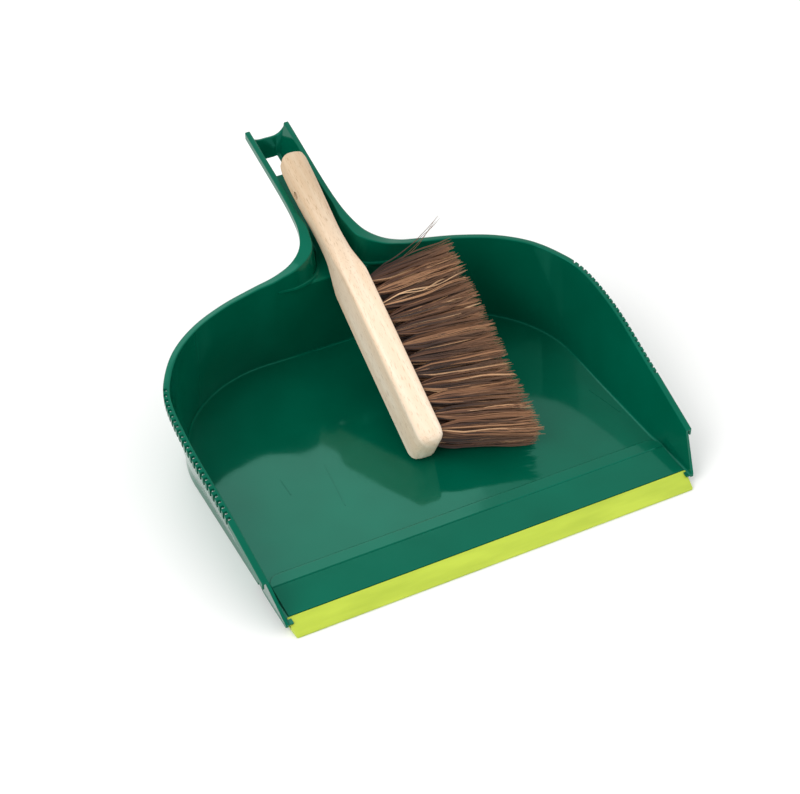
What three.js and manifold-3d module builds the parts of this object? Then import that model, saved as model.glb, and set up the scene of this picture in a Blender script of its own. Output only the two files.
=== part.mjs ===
// Dustpan with a hand brush lying in it.
// Millimetres, +Z up, +Y from the lip towards the handle, +X to the right of someone holding it.
// The pan is drawn with y = 0 at the front edge of its lip, and a group then moves that to the
// middle of the whole length, so that the origin is under the centre of the object.
import * as THREE from "three";
import { mergeVertices } from "three/addons/utils/BufferGeometryUtils.js";
import Module from "manifold-3d";

const wasm = await Module();
wasm.setup();

// Pan: overall
const PAN_LENGTH = 408;
const WALL = 2.2;
const INSET = 0.25;
const GAP = 0.3;
const MITRE = 7;
const WELD = 0.02;

// Rim: the outer edge of its flat flange, right-hand half, front to handle: x, y, z, flange width
const RIM = [
  [178, 27, 36, 5],
  [181, 91, 56, 5],
  [184, 150, 72, 5],
  [180.5, 193, 80.5, 5],
  [171, 214, 84.5, 5],
  [156, 233, 88.5, 5],
  [133.5, 250, 91, 5],
  [104, 264, 92, 5],
  [75, 271, 94, 5.5],
  [55, 271.5, 98.5, 7],
  [40, 273.5, 104.5, 9],
  [29, 281, 110.5, 10.5],
  [23, 294, 116.5, 8],
  [20, 316, 123, 4.6],
  [19.6, 403, 147.3, 4.2],
];
const FLANGE_THICK = 2.2;
const LIP_DEPTH = 6.5;
const LIP_THICK = 1.6;

// Comb cut in the rim of both sides, for cleaning the brush
const COMB_START = 80;
const COMB_END = 200;
const COMB_PITCH = 5;
const COMB_NOTCH = 2.4;
const COMB_REACH = 3;

// Floor: its outline where the walls rise from it
const FLOOR_TOP = 8;
const FLOOR_HALF = 166;
const FLOOR_BACK = 277;
const FLOOR_RADIUS = 100;
const FLOOR_FRONT = 44;
const GUTTER_BOW = 1.8;
const GUTTER_STRAIGHT = 50;
const GUTTER_END = 62;
const FLOOR_SEGMENTS = 14;

// Front end of the side walls, and the skirt that the pan stands on
const CHEEK_SLANT = 19.5;
const CHEEK_BLEND = 64;
const SKIRT_START = 60;

// Ramp behind the soft lip
const RAMP_FRONT = 14.3;
const RAMP_FRONT_TOP = 9.1;
const RAMP_FOLD = 42;
const RAMP_FOLD_TOP = 11.8;
const RAMP_BACK = 55;
const RAMP_HALF = 164.6;
const RAMP_CORNER = 9;
const RAMP_CORNER_SEGMENTS = 5;
const RAMP_BACK_ROUND = 3;
const RAMP_CROWN = 0.3;
const RAMP_BACK_DROP = 1.2;
const RAMP_BASE = 6.2;

// Ribs under the floor
const RIB_XS = [-120, -60, 0, 60, 120];
const RIB_START = 62;
const RIB_END = 236;
const RIB_THICK = 1.6;
const RIB_FOOT = 0.6;

// Channel of the handle: its bottom plate lies in a sloping plane z = rise + slope * y
const SLOPE = 0.28;
const PLATE_RISE = 11;
const PLATE_FRONT = 267.6;
const MOUTH_LEAN = 10.5;
const MOUTH_HALF = 40;
const DRAFT = 7;
const NECK_START = 9;
const BACK_WALL_STATION = 8.65;
const SEAM_DEPTH = 0.5;
const SLOT_START = 376;
const SLOT_END = 401;
const SLOT_HALF = 7.8;
const SLOT_CORNER = 2;
const SLOT_CUTTER_REACH = 8;
const DRAFT_STARTS = 10;
const DRAFT_FULL = 13;
const LEAN_ENDS = 11;

// Curved end wall of the handle, with a dip for the thumb
const END_HALF = 17.5;
const END_TIP = 402.3;
const END_BULGE = 3.5;
const END_SLANT = 6;
const END_TOP = 146.6;
const END_DIP = 11.8;
const END_DIP_SHAPE = 3.5;
const END_STEPS = 12;
const END_ROOT = 3;
const END_PLATE_STEPS = [0.95, 0.7, 0.4];

// Soft lip: wedge section, y and z
const STRIP_HALF_FRONT = 165;
const STRIP_HALF_BACK = 166.4;
const STRIP_BACK = 14;
const TONGUE_TIP = 9;
const TONGUE_FOOT = 2.8;
const TONGUE_TOP = 4.2;
const TONGUE_ROOT_TOP = 6.2;
const STRIP_FOOT = 5;
const STRIP_BACK_FOOT = 1.2;
const STRIP_BACK_TOP = 8.8;
const STRIP_NOSE = [0.4, 1.5];

// Brush: local frame with y = 0 at the nose of the block, +Y to the end of the handle,
// +X the way that the bristles point, and z across the width
const BRUSH_PLACE = [-4, 108, 23.8];
const BRUSH_TILT = THREE.MathUtils.degToRad(27);
const BRUSH_YAW = THREE.MathUtils.degToRad(-0.9);
const BLOCK_FACE = 9.5;
const HOLE_RADIUS = 2.4;
const HOLE_DEPTH = 11;
const TUFT_ROWS = 4;
const TUFTS_PER_ROW = 12;
const TUFT_FIRST = 10;
const TUFT_PITCH = 12.2;
const ROW_PITCH = 8.6;
const TUFT_FLOOR_GAP = 0.8;
const BRISTLE_LENGTH = 77;
const LEAN_NOSE = THREE.MathUtils.degToRad(-17);
const LEAN_HEEL = THREE.MathUtils.degToRad(4);
const LEAN_ROWS = THREE.MathUtils.degToRad(2);
const BLOCK_LENGTH = 160;
const HOLE_SIDES = 8;
const TUFT_SIDES = 8;
const TUFT_MIDDLE = 10;
const TUFT_FULL = 30;
const TUFT_SHARE = 0.46;
const CUTTER_REACH = 30;

// Outline of the stock: y, half width across z, half thickness across x, corner radius, middle in x
const STOCK = [
  [0, 13, 5.5, 3, 0],
  [1.5, 16.2, 8, 4, 0],
  [5, 18.8, 10, 4.5, 0],
  [10, 19.8, 10.6, 4.5, 0],
  [94, 20, 10.7, 4.5, 0],
  [150, 19.6, 10.6, 4.5, 0],
  [158, 17.8, 10.3, 5, 0],
  [167, 15, 9.8, 6, 0],
  [178, 13, 9.1, 7.5, -0.1],
  [195, 12.2, 8.7, 7.8, -0.7],
  [225, 12.4, 9.6, 8, -1.6],
  [248, 12.4, 10.2, 8, -2.2],
  [263, 11.8, 10, 7, -2.4],
  [270, 10.4, 9, 6, -2.4],
  [274, 7.4, 6.4, 4.6, -2.4],
];
const CORNER_STEPS = 4;
const HANG_HOLE_Y = 238;
const HANG_HOLE_RADIUS = 3.4;
const HANG_HOLE_SIDES = 12;

const PP_GREEN = { color: 0x0b6a50, roughness: 0.22, metalness: 0 };
const TPE_LIME = { color: 0xb9cc3c, roughness: 0.55, metalness: 0 };
const BEECH = { color: 0xe3cfae, roughness: 0.6, metalness: 0 };
const FIBRE = { color: 0x74492f, roughness: 0.8, metalness: 0 };

const vec = (x, y, z) => new THREE.Vector3(x, y, z);
const lerp = THREE.MathUtils.lerp;

// A closed body through rings of points, each with the same number. The end rings are closed by a
// fan from their first point, so they are convex unless the triangles of the cap are given.
function loft(rings, cap) {
  const count = rings[0].length;
  const positions = rings.flat().flatMap((p) => [p.x, p.y, p.z]);
  const faces = [];
  for (let r = 0; r + 1 < rings.length; r++) {
    for (let i = 0; i < count; i++) {
      const a = r * count + i;
      const b = r * count + ((i + 1) % count);
      faces.push(a, b, b + count, a, b + count, a + count);
    }
  }
  const last = (rings.length - 1) * count;
  const fan = Array.from({ length: count - 2 }, (_, i) => [0, i + 1, i + 2]);
  for (const [a, b, c] of cap ?? fan) {
    faces.push(a, c, b, last + a, last + b, last + c);
  }
  const geometry = new THREE.BufferGeometry();
  geometry.setAttribute("position", new THREE.Float32BufferAttribute(positions, 3));
  geometry.setIndex(faces);
  return geometry;
}

// Faces whose corners have merged into fewer than three points are dropped.
function withoutCollapsed(index) {
  const kept = [];
  for (let i = 0; i < index.length; i += 3) {
    const [a, b, c] = index.slice(i, i + 3);
    if (a !== b && b !== c && c !== a) {
      kept.push(a, b, c);
    }
  }
  return new Uint32Array(kept);
}

// A geometry as a manifold solid, turned the right way out if its rings ran the other way.
function solidOf(geometry) {
  const plain = new THREE.BufferGeometry();
  plain.setAttribute("position", geometry.getAttribute("position"));
  if (geometry.index) {
    plain.setIndex(geometry.index);
  }
  const merged = mergeVertices(plain, 1e-4);
  const triVerts = withoutCollapsed(merged.index.array);
  const vertProperties = merged.attributes.position.array;
  const made = new wasm.Manifold(new wasm.Mesh({ numProp: 3, vertProperties, triVerts }));
  if (made.volume() > 0) {
    return made;
  }
  const flipped = triVerts.slice();
  for (let i = 0; i < flipped.length; i += 3) {
    [flipped[i + 1], flipped[i + 2]] = [flipped[i + 2], flipped[i + 1]];
  }
  return new wasm.Manifold(new wasm.Mesh({ numProp: 3, vertProperties, triVerts: flipped }));
}

// Booleans leave corners a few microns apart. Corners joined by an edge shorter than WELD become one.
function weldShortEdges(positions, index) {
  const corner = (i) => vec(...positions.subarray(i * 3, i * 3 + 3));
  const merged = Array.from({ length: positions.length / 3 }, (_, i) => i);
  const rootOf = (i) => (merged[i] === i ? i : rootOf(merged[i]));
  for (let i = 0; i < index.length; i++) {
    const next = i % 3 === 2 ? i - 2 : i + 1;
    const [a, b] = [rootOf(index[i]), rootOf(index[next])];
    if (a !== b && corner(a).distanceTo(corner(b)) < WELD) {
      merged[Math.max(a, b)] = Math.min(a, b);
    }
  }
  return withoutCollapsed(Array.from(index, rootOf));
}

function geometryOf(solid) {
  const mesh = solid.getMesh();
  const positions = new Float32Array(mesh.numVert * 3);
  for (let i = 0; i < mesh.numVert; i++) {
    positions.set(mesh.vertProperties.subarray(i * mesh.numProp, i * mesh.numProp + 3), i * 3);
  }
  const geometry = new THREE.BufferGeometry();
  geometry.setAttribute("position", new THREE.BufferAttribute(positions, 3));
  geometry.setIndex(new THREE.BufferAttribute(weldShortEdges(positions, mesh.triVerts), 1));
  return geometry;
}

const join = (solids) => solids.reduce((all, next) => all.add(next));
const cut = (solid, tools) => tools.reduce((left, tool) => left.subtract(tool), solid);

function boxSolid(x0, x1, y0, y1, z0, z1) {
  const box = new THREE.BoxGeometry(x1 - x0, y1 - y0, z1 - z0);
  return solidOf(box.translate((x0 + x1) / 2, (y0 + y1) / 2, (z0 + z1) / 2));
}

// ---- Rim line ----

const rimCurve = new THREE.CatmullRomCurve3(RIM.map(([x, y, z]) => vec(x, y, z)), false, "centripetal");
const plateTop = (y) => PLATE_RISE + SLOPE * y;

// One station of the rim: the point on its outer edge, the outward direction in plan and the width.
function rimStation(at) {
  const t = at / (RIM.length - 1);
  const outer = rimCurve.getPoint(t);
  const along = rimCurve.getTangent(t);
  const out = vec(along.y, -along.x, 0).normalize();
  const i = Math.min(Math.floor(at), RIM.length - 2);
  const width = lerp(RIM[i][3], RIM[i + 1][3], THREE.MathUtils.smoothstep(at - i, 0, 1));
  const inner = outer.clone().addScaledVector(out, -width);
  return { at, outer, inner, out };
}

// Stations from the front of the rim to the tip of the handle, closer together where it bends.
function rimStations(from, to) {
  const stations = [];
  for (let i = from; i < to; i++) {
    const a = rimCurve.getTangent(i / (RIM.length - 1));
    const b = rimCurve.getTangent((i + 1) / (RIM.length - 1));
    const steps = Math.max(1, Math.round(THREE.MathUtils.radToDeg(a.angleTo(b)) / MITRE));
    for (let s = 0; s < steps; s++) {
      stations.push(rimStation(i + s / steps));
    }
  }
  stations.push(rimStation(to));
  return stations;
}

const mirrored = (p) => vec(-p.x, p.y, p.z);
const mirrorRing = (ring) => ring.map(mirrored);

// ---- Tray ----

function floorHalf(y) {
  return FLOOR_HALF + GUTTER_BOW * (1 - THREE.MathUtils.smoothstep(y, FLOOR_FRONT, GUTTER_END));
}

// The point of the floor outline that lies under a point of the rim, and the way out from it.
function floorUnder(x, y) {
  const cx = FLOOR_HALF - FLOOR_RADIUS;
  const cy = FLOOR_BACK - FLOOR_RADIUS;
  if (y <= cy) {
    return { point: vec(floorHalf(y), y, FLOOR_TOP), out: vec(1, 0, 0) };
  }
  if (x <= cx) {
    return { point: vec(x, FLOOR_BACK, FLOOR_TOP), out: vec(0, 1, 0) };
  }
  const out = vec(x - cx, y - cy, 0).normalize();
  return { point: vec(cx, cy, FLOOR_TOP).addScaledVector(out, FLOOR_RADIUS), out };
}

// Foot of the wall under a rim station. The front end of the wall slants forward as it goes down.
function wallFoot(station) {
  const { x, y } = station.inner;
  const slant = CHEEK_SLANT * Math.max(0, 1 - (y - RIM[0][1]) / CHEEK_BLEND);
  return floorUnder(x, y - slant);
}

// Section of the tray wall with its rim: up the inner face, out over the flange, down its lip and
// back under it, then down the outer face to the skirt that the pan stands on.
function shellRing(station, foot, footOut, footBottom) {
  const { inner, outer, out } = station;
  const lipInner = outer.clone().addScaledVector(out, -LIP_THICK);
  const footOuter = foot.clone().addScaledVector(footOut, WALL);
  return [
    foot,
    inner,
    outer,
    outer.clone().add(vec(0, 0, -LIP_DEPTH)),
    lipInner.clone().add(vec(0, 0, -LIP_DEPTH)),
    lipInner.clone().add(vec(0, 0, -FLANGE_THICK)),
    inner.clone().addScaledVector(out, WALL).add(vec(0, 0, -FLANGE_THICK)),
    footOuter,
    footOuter.clone().setZ(footBottom),
    foot.clone().setZ(footBottom),
  ];
}

function trayRing(station) {
  const foot = wallFoot(station);
  return shellRing(station, foot.point, foot.out, 0);
}

// The same section along the neck and the handle, ending just under the bottom plate.
function channelRing(station) {
  const foot = channelFoot(station, 0);
  return shellRing(station, foot, station.out, foot.z - WALL - SEAM_DEPTH);
}

// Triangles that close the end of such a section.
function shellCap(station) {
  const flat = trayRing(station).map((p) => {
    const reach = p.clone().sub(station.inner);
    return new THREE.Vector2(reach.dot(station.out), reach.z);
  });
  const clockwise = THREE.ShapeUtils.isClockWise(flat);
  const cap = THREE.ShapeUtils.triangulateShape(flat, []);
  return clockwise ? cap.map(([a, b, c]) => [a, c, b]) : cap;
}

// Each side is one body from the front of the tray wall to the tip of the handle.
function sides() {
  const tray = rimStations(0, NECK_START);
  const neck = rimStations(NECK_START, RIM.length - 1);
  const rings = [...tray.map(trayRing), ...neck.map(channelRing)];
  const cap = shellCap(tray[0]);
  const right = solidOf(loft(rings, cap));
  const left = solidOf(loft(rings.map(mirrorRing), cap));
  return [right, left];
}

// Back wall of the tray below the mouth of the handle, let into the side walls at both ends.
function backWall() {
  const station = rimStation(BACK_WALL_STATION);
  const foot = wallFoot(station).point;
  const top = plateTop(FLOOR_BACK - MOUTH_LEAN);
  const t = (top - foot.z) / (station.inner.z - foot.z);
  const topY = lerp(foot.y, station.inner.y, t);
  return [-1, 1].map((side) => [
    vec(side * station.inner.x, foot.y + INSET, INSET),
    vec(side * station.inner.x, foot.y + INSET, foot.z),
    vec(side * station.inner.x, topY + INSET, top),
    vec(side * station.inner.x, topY + WALL - INSET, top),
    vec(side * station.inner.x, foot.y + WALL - INSET, foot.z),
    vec(side * station.inner.x, foot.y + WALL - INSET, INSET),
  ]);
}

function floorSlab() {
  const cx = FLOOR_HALF - FLOOR_RADIUS;
  const cy = FLOOR_BACK - FLOOR_RADIUS;
  const inWall = WALL / 2;
  const reach = FLOOR_RADIUS + inWall;
  const shape = new THREE.Shape();
  shape.moveTo(-FLOOR_HALF - GUTTER_BOW - inWall, RAMP_FRONT);
  shape.lineTo(FLOOR_HALF + GUTTER_BOW + inWall, RAMP_FRONT);
  shape.lineTo(FLOOR_HALF + GUTTER_BOW + inWall, GUTTER_STRAIGHT);
  shape.lineTo(FLOOR_HALF + inWall, GUTTER_END);
  shape.absarc(cx, cy, reach, 0, Math.PI / 2, false);
  shape.absarc(-cx, cy, reach, Math.PI / 2, Math.PI, false);
  shape.lineTo(-FLOOR_HALF - inWall, GUTTER_END);
  shape.lineTo(-FLOOR_HALF - GUTTER_BOW - inWall, GUTTER_STRAIGHT);
  const flat = { depth: WALL, bevelEnabled: false, curveSegments: FLOOR_SEGMENTS };
  const slab = new THREE.ExtrudeGeometry(shape, flat);
  return solidOf(slab.translate(0, 0, FLOOR_TOP - WALL));
}

// Ramp: a profile along X, its back corners rounded in plan.
function ramp() {
  const profile = [
    [TONGUE_TIP, TONGUE_FOOT],
    [TONGUE_TIP, TONGUE_TOP],
    [RAMP_FRONT, TONGUE_ROOT_TOP],
    [RAMP_FRONT, RAMP_FRONT_TOP],
    [RAMP_FOLD, RAMP_FOLD_TOP],
    [RAMP_BACK - RAMP_BACK_ROUND, RAMP_FOLD_TOP + RAMP_CROWN],
    [RAMP_BACK, RAMP_FOLD_TOP - RAMP_BACK_DROP],
    [RAMP_BACK, RAMP_BASE],
    [RAMP_FOLD, RAMP_BASE],
    [RAMP_FRONT, TONGUE_FOOT],
  ];
  const shape = new THREE.Shape(profile.map(([y, z]) => new THREE.Vector2(y, z)));
  const length = 2 * RAMP_HALF;
  const bar = new THREE.ExtrudeGeometry(shape, { depth: length, bevelEnabled: false });
  bar.rotateX(Math.PI / 2).rotateZ(Math.PI / 2).translate(-RAMP_HALF, 0, 0);
  const plan = new THREE.Shape();
  plan.moveTo(-RAMP_HALF, 0);
  plan.lineTo(RAMP_HALF, 0);
  plan.absarc(RAMP_HALF - RAMP_CORNER, RAMP_BACK - RAMP_CORNER, RAMP_CORNER, 0, Math.PI / 2, false);
  plan.absarc(RAMP_CORNER - RAMP_HALF, RAMP_BACK - RAMP_CORNER, RAMP_CORNER, Math.PI / 2, Math.PI, false);
  const tall = { depth: 3 * RAMP_FOLD_TOP, bevelEnabled: false, curveSegments: RAMP_CORNER_SEGMENTS };
  const block = new THREE.ExtrudeGeometry(plan, tall).translate(0, 0, -RAMP_FOLD_TOP);
  return solidOf(bar).intersect(solidOf(block));
}

const ribs = () =>
  RIB_XS.map((x) =>
    boxSolid(x - RIB_THICK / 2, x + RIB_THICK / 2, RIB_START, RIB_END, RIB_FOOT, FLOOR_TOP - 1),
  );

// ---- Comb ----

function combNotches() {
  const notches = [];
  const stations = rimStations(0, NECK_START);
  for (let y = COMB_START; y <= COMB_END; y += COMB_PITCH) {
    const i = stations.findIndex((s) => s.outer.y > y);
    const a = stations[i - 1];
    const b = stations[i];
    const t = (y - a.outer.y) / (b.outer.y - a.outer.y);
    const edge = a.outer.clone().lerp(b.outer, t);
    const turn = Math.atan2(lerp(a.out.y, b.out.y, t), lerp(a.out.x, b.out.x, t));
    const notch = new THREE.BoxGeometry(2 * COMB_REACH, COMB_NOTCH, 4 * LIP_DEPTH);
    notch.rotateZ(turn).translate(edge.x, edge.y, edge.z);
    notches.push(solidOf(notch));
    notches.push(solidOf(notch.clone().scale(-1, 1, 1)));
  }
  return notches;
}

// ---- Handle ----

// Foot of the channel wall at the plate. It leans with the tray wall where the neck starts, and
// inwards along the handle.
function channelFoot(s, grow) {
  const draft = DRAFT * THREE.MathUtils.smoothstep(s.at, DRAFT_STARTS, DRAFT_FULL);
  const lean = 1 - THREE.MathUtils.smoothstep(s.at, NECK_START, LEAN_ENDS);
  const foot = s.inner.clone().addScaledVector(s.out, grow - draft);
  foot.setZ(plateTop(s.inner.y));
  const drop = (s.inner.z - foot.z) / (s.inner.z - FLOOR_TOP);
  foot.y += lean * drop * (FLOOR_BACK - s.inner.y);
  foot.y -= END_SLANT * THREE.MathUtils.smoothstep(s.at, RIM.length - 2, RIM.length - 1);
  return foot;
}

// Bottom plate of the channel, let into the walls on each side and into the curved end wall.
function channelPlate() {
  const sideFeet = rimStations(NECK_START, RIM.length - 1)
    .map((s) => channelFoot(s, WALL / 2))
    .filter((p) => p.y > PLATE_FRONT && p.y < END_TIP - END_SLANT);
  const endFeet = END_PLATE_STEPS.map((u) =>
    vec(u * (END_HALF - DRAFT), endFront(u) - END_SLANT + WALL / 2, 0),
  );
  const outline = [vec(MOUTH_HALF, PLATE_FRONT, 0), ...sideFeet, ...endFeet];
  const rings = outline.map(({ x, y }) => [
    vec(-x, y, plateTop(y)),
    vec(x, y, plateTop(y)),
    vec(x, y, plateTop(y) - WALL),
    vec(-x, y, plateTop(y) - WALL),
  ]);
  return solidOf(loft(rings));
}

// Straight down through the bottom plate and the foot of the end wall.
function hangingSlot() {
  const shape = new THREE.Shape();
  const radius = SLOT_CORNER;
  shape.absarc(SLOT_HALF - radius, SLOT_START + radius, radius, -Math.PI / 2, 0, false);
  shape.absarc(SLOT_HALF - radius, SLOT_END - radius, radius, 0, Math.PI / 2, false);
  shape.absarc(radius - SLOT_HALF, SLOT_END - radius, radius, Math.PI / 2, Math.PI, false);
  shape.absarc(radius - SLOT_HALF, SLOT_START + radius, radius, Math.PI, 1.5 * Math.PI, false);
  const bottom = plateTop(SLOT_START) - SLOT_CUTTER_REACH;
  const depth = plateTop(SLOT_END) + SLOT_CUTTER_REACH - bottom;
  const through = new THREE.ExtrudeGeometry(shape, { depth, bevelEnabled: false, curveSegments: 4 });
  return solidOf(through.translate(0, 0, bottom));
}

// Inner face of the end wall at its top, u running from -1 to 1 across the handle.
const endFront = (u) => END_TIP + END_BULGE * (1 - u * u);

function endWall() {
  const rings = [];
  for (let i = 0; i <= END_STEPS; i++) {
    const u = (2 * i) / END_STEPS - 1;
    const x = u * END_HALF;
    const front = endFront(u);
    const top = END_TOP - END_DIP * (1 - Math.abs(u) ** END_DIP_SHAPE);
    const footY = front - END_SLANT;
    const footX = x * (1 - DRAFT / END_HALF);
    const footZ = plateTop(END_TIP) - WALL - END_ROOT;
    rings.push([
      vec(footX, footY, footZ),
      vec(x, front, top),
      vec(x, front + WALL, top),
      vec(footX, footY + WALL, footZ),
    ]);
  }
  return solidOf(loft(rings));
}

function makePan() {
  const beyond = PAN_LENGTH / 2;
  const underCheek = boxSolid(-beyond, beyond, -beyond, SKIRT_START, -WALL, FLOOR_TOP - WALL - GAP);
  const walls = join([...sides(), solidOf(loft(backWall()))]).subtract(underCheek);
  const pan = join([walls, floorSlab(), ramp(), ...ribs(), channelPlate(), endWall()]);
  return cut(pan, [hangingSlot(), ...combNotches()]);
}

// ---- Soft lip ----

function makeLip() {
  const section = [
    [0, 0],
    [STRIP_FOOT, 0],
    [STRIP_BACK, STRIP_BACK_FOOT],
    [STRIP_BACK, TONGUE_FOOT - GAP],
    [TONGUE_TIP - GAP, TONGUE_FOOT - GAP],
    [TONGUE_TIP - GAP, TONGUE_TOP + GAP],
    [STRIP_BACK, TONGUE_ROOT_TOP + GAP],
    [STRIP_BACK, STRIP_BACK_TOP],
    STRIP_NOSE,
  ];
  const halfAt = (y) => lerp(STRIP_HALF_FRONT, STRIP_HALF_BACK, y / STRIP_BACK);
  const outline = section.map(([y, z]) => new THREE.Vector2(y, z));
  const cap = THREE.ShapeUtils.triangulateShape(outline, []);
  const ends = [-1, 1].map((side) => section.map(([y, z]) => vec(side * halfAt(y), y, z)));
  return solidOf(loft(ends, cap));
}

// ---- Brush ----

// A rectangle with rounded corners, across the stock at one place along it.
function stockRing([y, halfWidth, halfThick, radius, middle]) {
  const ring = [];
  for (let corner = 0; corner < 4; corner++) {
    const sideX = corner === 0 || corner === 3 ? 1 : -1;
    const sideZ = corner < 2 ? 1 : -1;
    for (let i = 0; i <= CORNER_STEPS; i++) {
      const a = (Math.PI / 2) * (corner + i / CORNER_STEPS);
      const x = middle + sideX * (halfThick - radius) + radius * Math.cos(a);
      const z = sideZ * (halfWidth - radius) + radius * Math.sin(a);
      ring.push(vec(x, y, z));
    }
  }
  return ring;
}

function cylinderAlongX(radius, x0, x1, y, z, sides) {
  const pin = new THREE.CylinderGeometry(radius, radius, x1 - x0, sides);
  return pin.rotateZ(Math.PI / 2).translate((x0 + x1) / 2, y, z);
}

function tuftPlaces() {
  const places = [];
  for (let row = 0; row < TUFT_ROWS; row++) {
    for (let i = 0; i < TUFTS_PER_ROW; i++) {
      const across = row - (TUFT_ROWS - 1) / 2;
      const along = i / (TUFTS_PER_ROW - 1);
      places.push({
        name: `tuft_${row + 1}_${String(i + 1).padStart(2, "0")}`,
        y: TUFT_FIRST + i * TUFT_PITCH,
        z: across * ROW_PITCH,
        leanY: Math.tan(lerp(LEAN_NOSE, LEAN_HEEL, along)),
        leanZ: (Math.tan(LEAN_ROWS) * across) / ((TUFT_ROWS - 1) / 2),
      });
    }
  }
  return places;
}

function makeStock() {
  const reach = CUTTER_REACH;
  const body = solidOf(loft(STOCK.map(stockRing)));
  const face = boxSolid(BLOCK_FACE, reach, -reach, BLOCK_LENGTH, -reach, reach);
  const holes = tuftPlaces().map(({ y, z }) =>
    solidOf(cylinderAlongX(HOLE_RADIUS, BLOCK_FACE - HOLE_DEPTH, CUTTER_REACH, y, z, HOLE_SIDES)),
  );
  const hanging = solidOf(
    cylinderAlongX(HANG_HOLE_RADIUS, -reach, reach, HANG_HOLE_Y, 0, HANG_HOLE_SIDES),
  );
  return cut(body, [face, ...holes, hanging]);
}

// Bristles that would reach below the floor of the pan lie on it, and press the rows above together.
function liftedZ(open, y, z) {
  const half = (ROW_PITCH * TUFT_ROWS) / 2 + open * Math.tan(LEAN_ROWS);
  const floor = FLOOR_TOP + TUFT_FLOOR_GAP - BRUSH_PLACE[2];
  const lowest = (floor - y * Math.sin(BRUSH_TILT)) / Math.cos(BRUSH_TILT);
  const squeezed = lerp(lowest, half, (z + half) / (2 * half));
  return open > 0 ? Math.max(z, squeezed) : z;
}

// One tuft: round where it is folded into its hole, then spreading to fill its share of the face.
function makeTuft({ y, z, leanY, leanZ }) {
  const inHole = HOLE_RADIUS - GAP;
  const spreadAlong = (Math.tan(LEAN_HEEL) - Math.tan(LEAN_NOSE)) / (TUFTS_PER_ROW - 1);
  const spreadAcross = (2 * Math.tan(LEAN_ROWS)) / (TUFT_ROWS - 1);
  const heights = [GAP - HOLE_DEPTH, 0, TUFT_MIDDLE, TUFT_FULL, BRISTLE_LENGTH];
  const rings = heights.map((h) => {
    const open = Math.max(h, 0);
    const full = Math.min(open / TUFT_FULL, 1);
    const halfY = lerp(inHole, (TUFT_PITCH + open * spreadAlong) * TUFT_SHARE, full);
    const halfZ = lerp(inHole, (ROW_PITCH + open * spreadAcross) * TUFT_SHARE, full);
    const ring = [];
    for (let i = 0; i < TUFT_SIDES; i++) {
      const a = (2 * Math.PI * (i + 0.5)) / TUFT_SIDES;
      const py = y + open * leanY + halfY * Math.cos(a);
      const pz = z + open * leanZ + halfZ * Math.sin(a);
      ring.push(vec(BLOCK_FACE + h, py, liftedZ(open, py, pz)));
    }
    return ring;
  });
  return solidOf(loft(rings));
}

// ---- Assembly ----

function node(name, solid, finish) {
  const mesh = new THREE.Mesh(geometryOf(solid), new THREE.MeshStandardMaterial(finish));
  mesh.name = name;
  return mesh;
}

const pan = new THREE.Group();
pan.add(node("pan_moulding", makePan(), PP_GREEN));
pan.add(node("lip_strip", makeLip(), TPE_LIME));

const brush = new THREE.Group();
brush.add(node("brush_stock", makeStock(), BEECH));
for (const place of tuftPlaces()) {
  brush.add(node(place.name, makeTuft(place), FIBRE));
}
brush.position.set(...BRUSH_PLACE);
brush.rotation.set(BRUSH_TILT, 0, BRUSH_YAW, "ZXY");

const assembly = new THREE.Group();
assembly.add(pan, brush);
assembly.position.y = -PAN_LENGTH / 2;

const group = new THREE.Group();
group.name = "dustpan_and_brush";
group.add(assembly);
export default group;
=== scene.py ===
# %% [markdown]
# # Dustpan and hand brush
# The pan is one injection moulding in green polypropylene: a deep tray with a combed rim, and a
# hollow handle that is open at the top. A strip of soft yellow-green rubber is moulded along its
# front edge. A wooden brush with long brown bristles lies in it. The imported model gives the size
# and the place of every piece, and this script builds the fine surfaces on them.

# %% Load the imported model
import math

import bpy
import numpy as np
from mathutils import Matrix, Vector
from mathutils.geometry import tessellate_polygon


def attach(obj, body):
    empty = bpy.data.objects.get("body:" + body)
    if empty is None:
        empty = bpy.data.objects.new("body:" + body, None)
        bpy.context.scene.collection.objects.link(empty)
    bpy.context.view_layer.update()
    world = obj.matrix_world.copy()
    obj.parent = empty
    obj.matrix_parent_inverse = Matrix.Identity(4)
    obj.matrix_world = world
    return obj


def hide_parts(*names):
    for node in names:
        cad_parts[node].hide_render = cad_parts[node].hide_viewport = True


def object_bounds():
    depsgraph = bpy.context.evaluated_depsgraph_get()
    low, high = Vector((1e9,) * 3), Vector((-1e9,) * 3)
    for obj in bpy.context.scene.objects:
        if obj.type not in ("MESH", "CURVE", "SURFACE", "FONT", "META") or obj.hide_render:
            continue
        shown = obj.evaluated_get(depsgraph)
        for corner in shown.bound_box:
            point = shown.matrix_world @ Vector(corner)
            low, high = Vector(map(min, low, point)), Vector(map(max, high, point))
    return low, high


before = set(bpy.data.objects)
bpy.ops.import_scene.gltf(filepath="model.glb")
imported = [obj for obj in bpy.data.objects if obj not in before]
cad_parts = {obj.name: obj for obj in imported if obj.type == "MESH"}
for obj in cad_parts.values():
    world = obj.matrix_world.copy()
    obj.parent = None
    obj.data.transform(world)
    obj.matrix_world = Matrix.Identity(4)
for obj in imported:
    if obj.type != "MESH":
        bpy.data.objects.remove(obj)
cad_low, cad_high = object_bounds()
PAN_LENGTH = 1000 * (cad_high.y - cad_low.y)
print("packed nodes:", len(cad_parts), "length in mm:", round(PAN_LENGTH, 1))

# %% [markdown]
# The camera looks down on the pan from its front left corner, like someone who has just put it
# down. A long lens keeps the far rim nearly as large as the near one.

# %% Camera
CAMERA_PLACE = (-0.4924, -0.9897, 0.9232)
CAMERA_AZIMUTH = math.radians(-27.41)
CAMERA_HEIGHT = math.radians(39.75)

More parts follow.
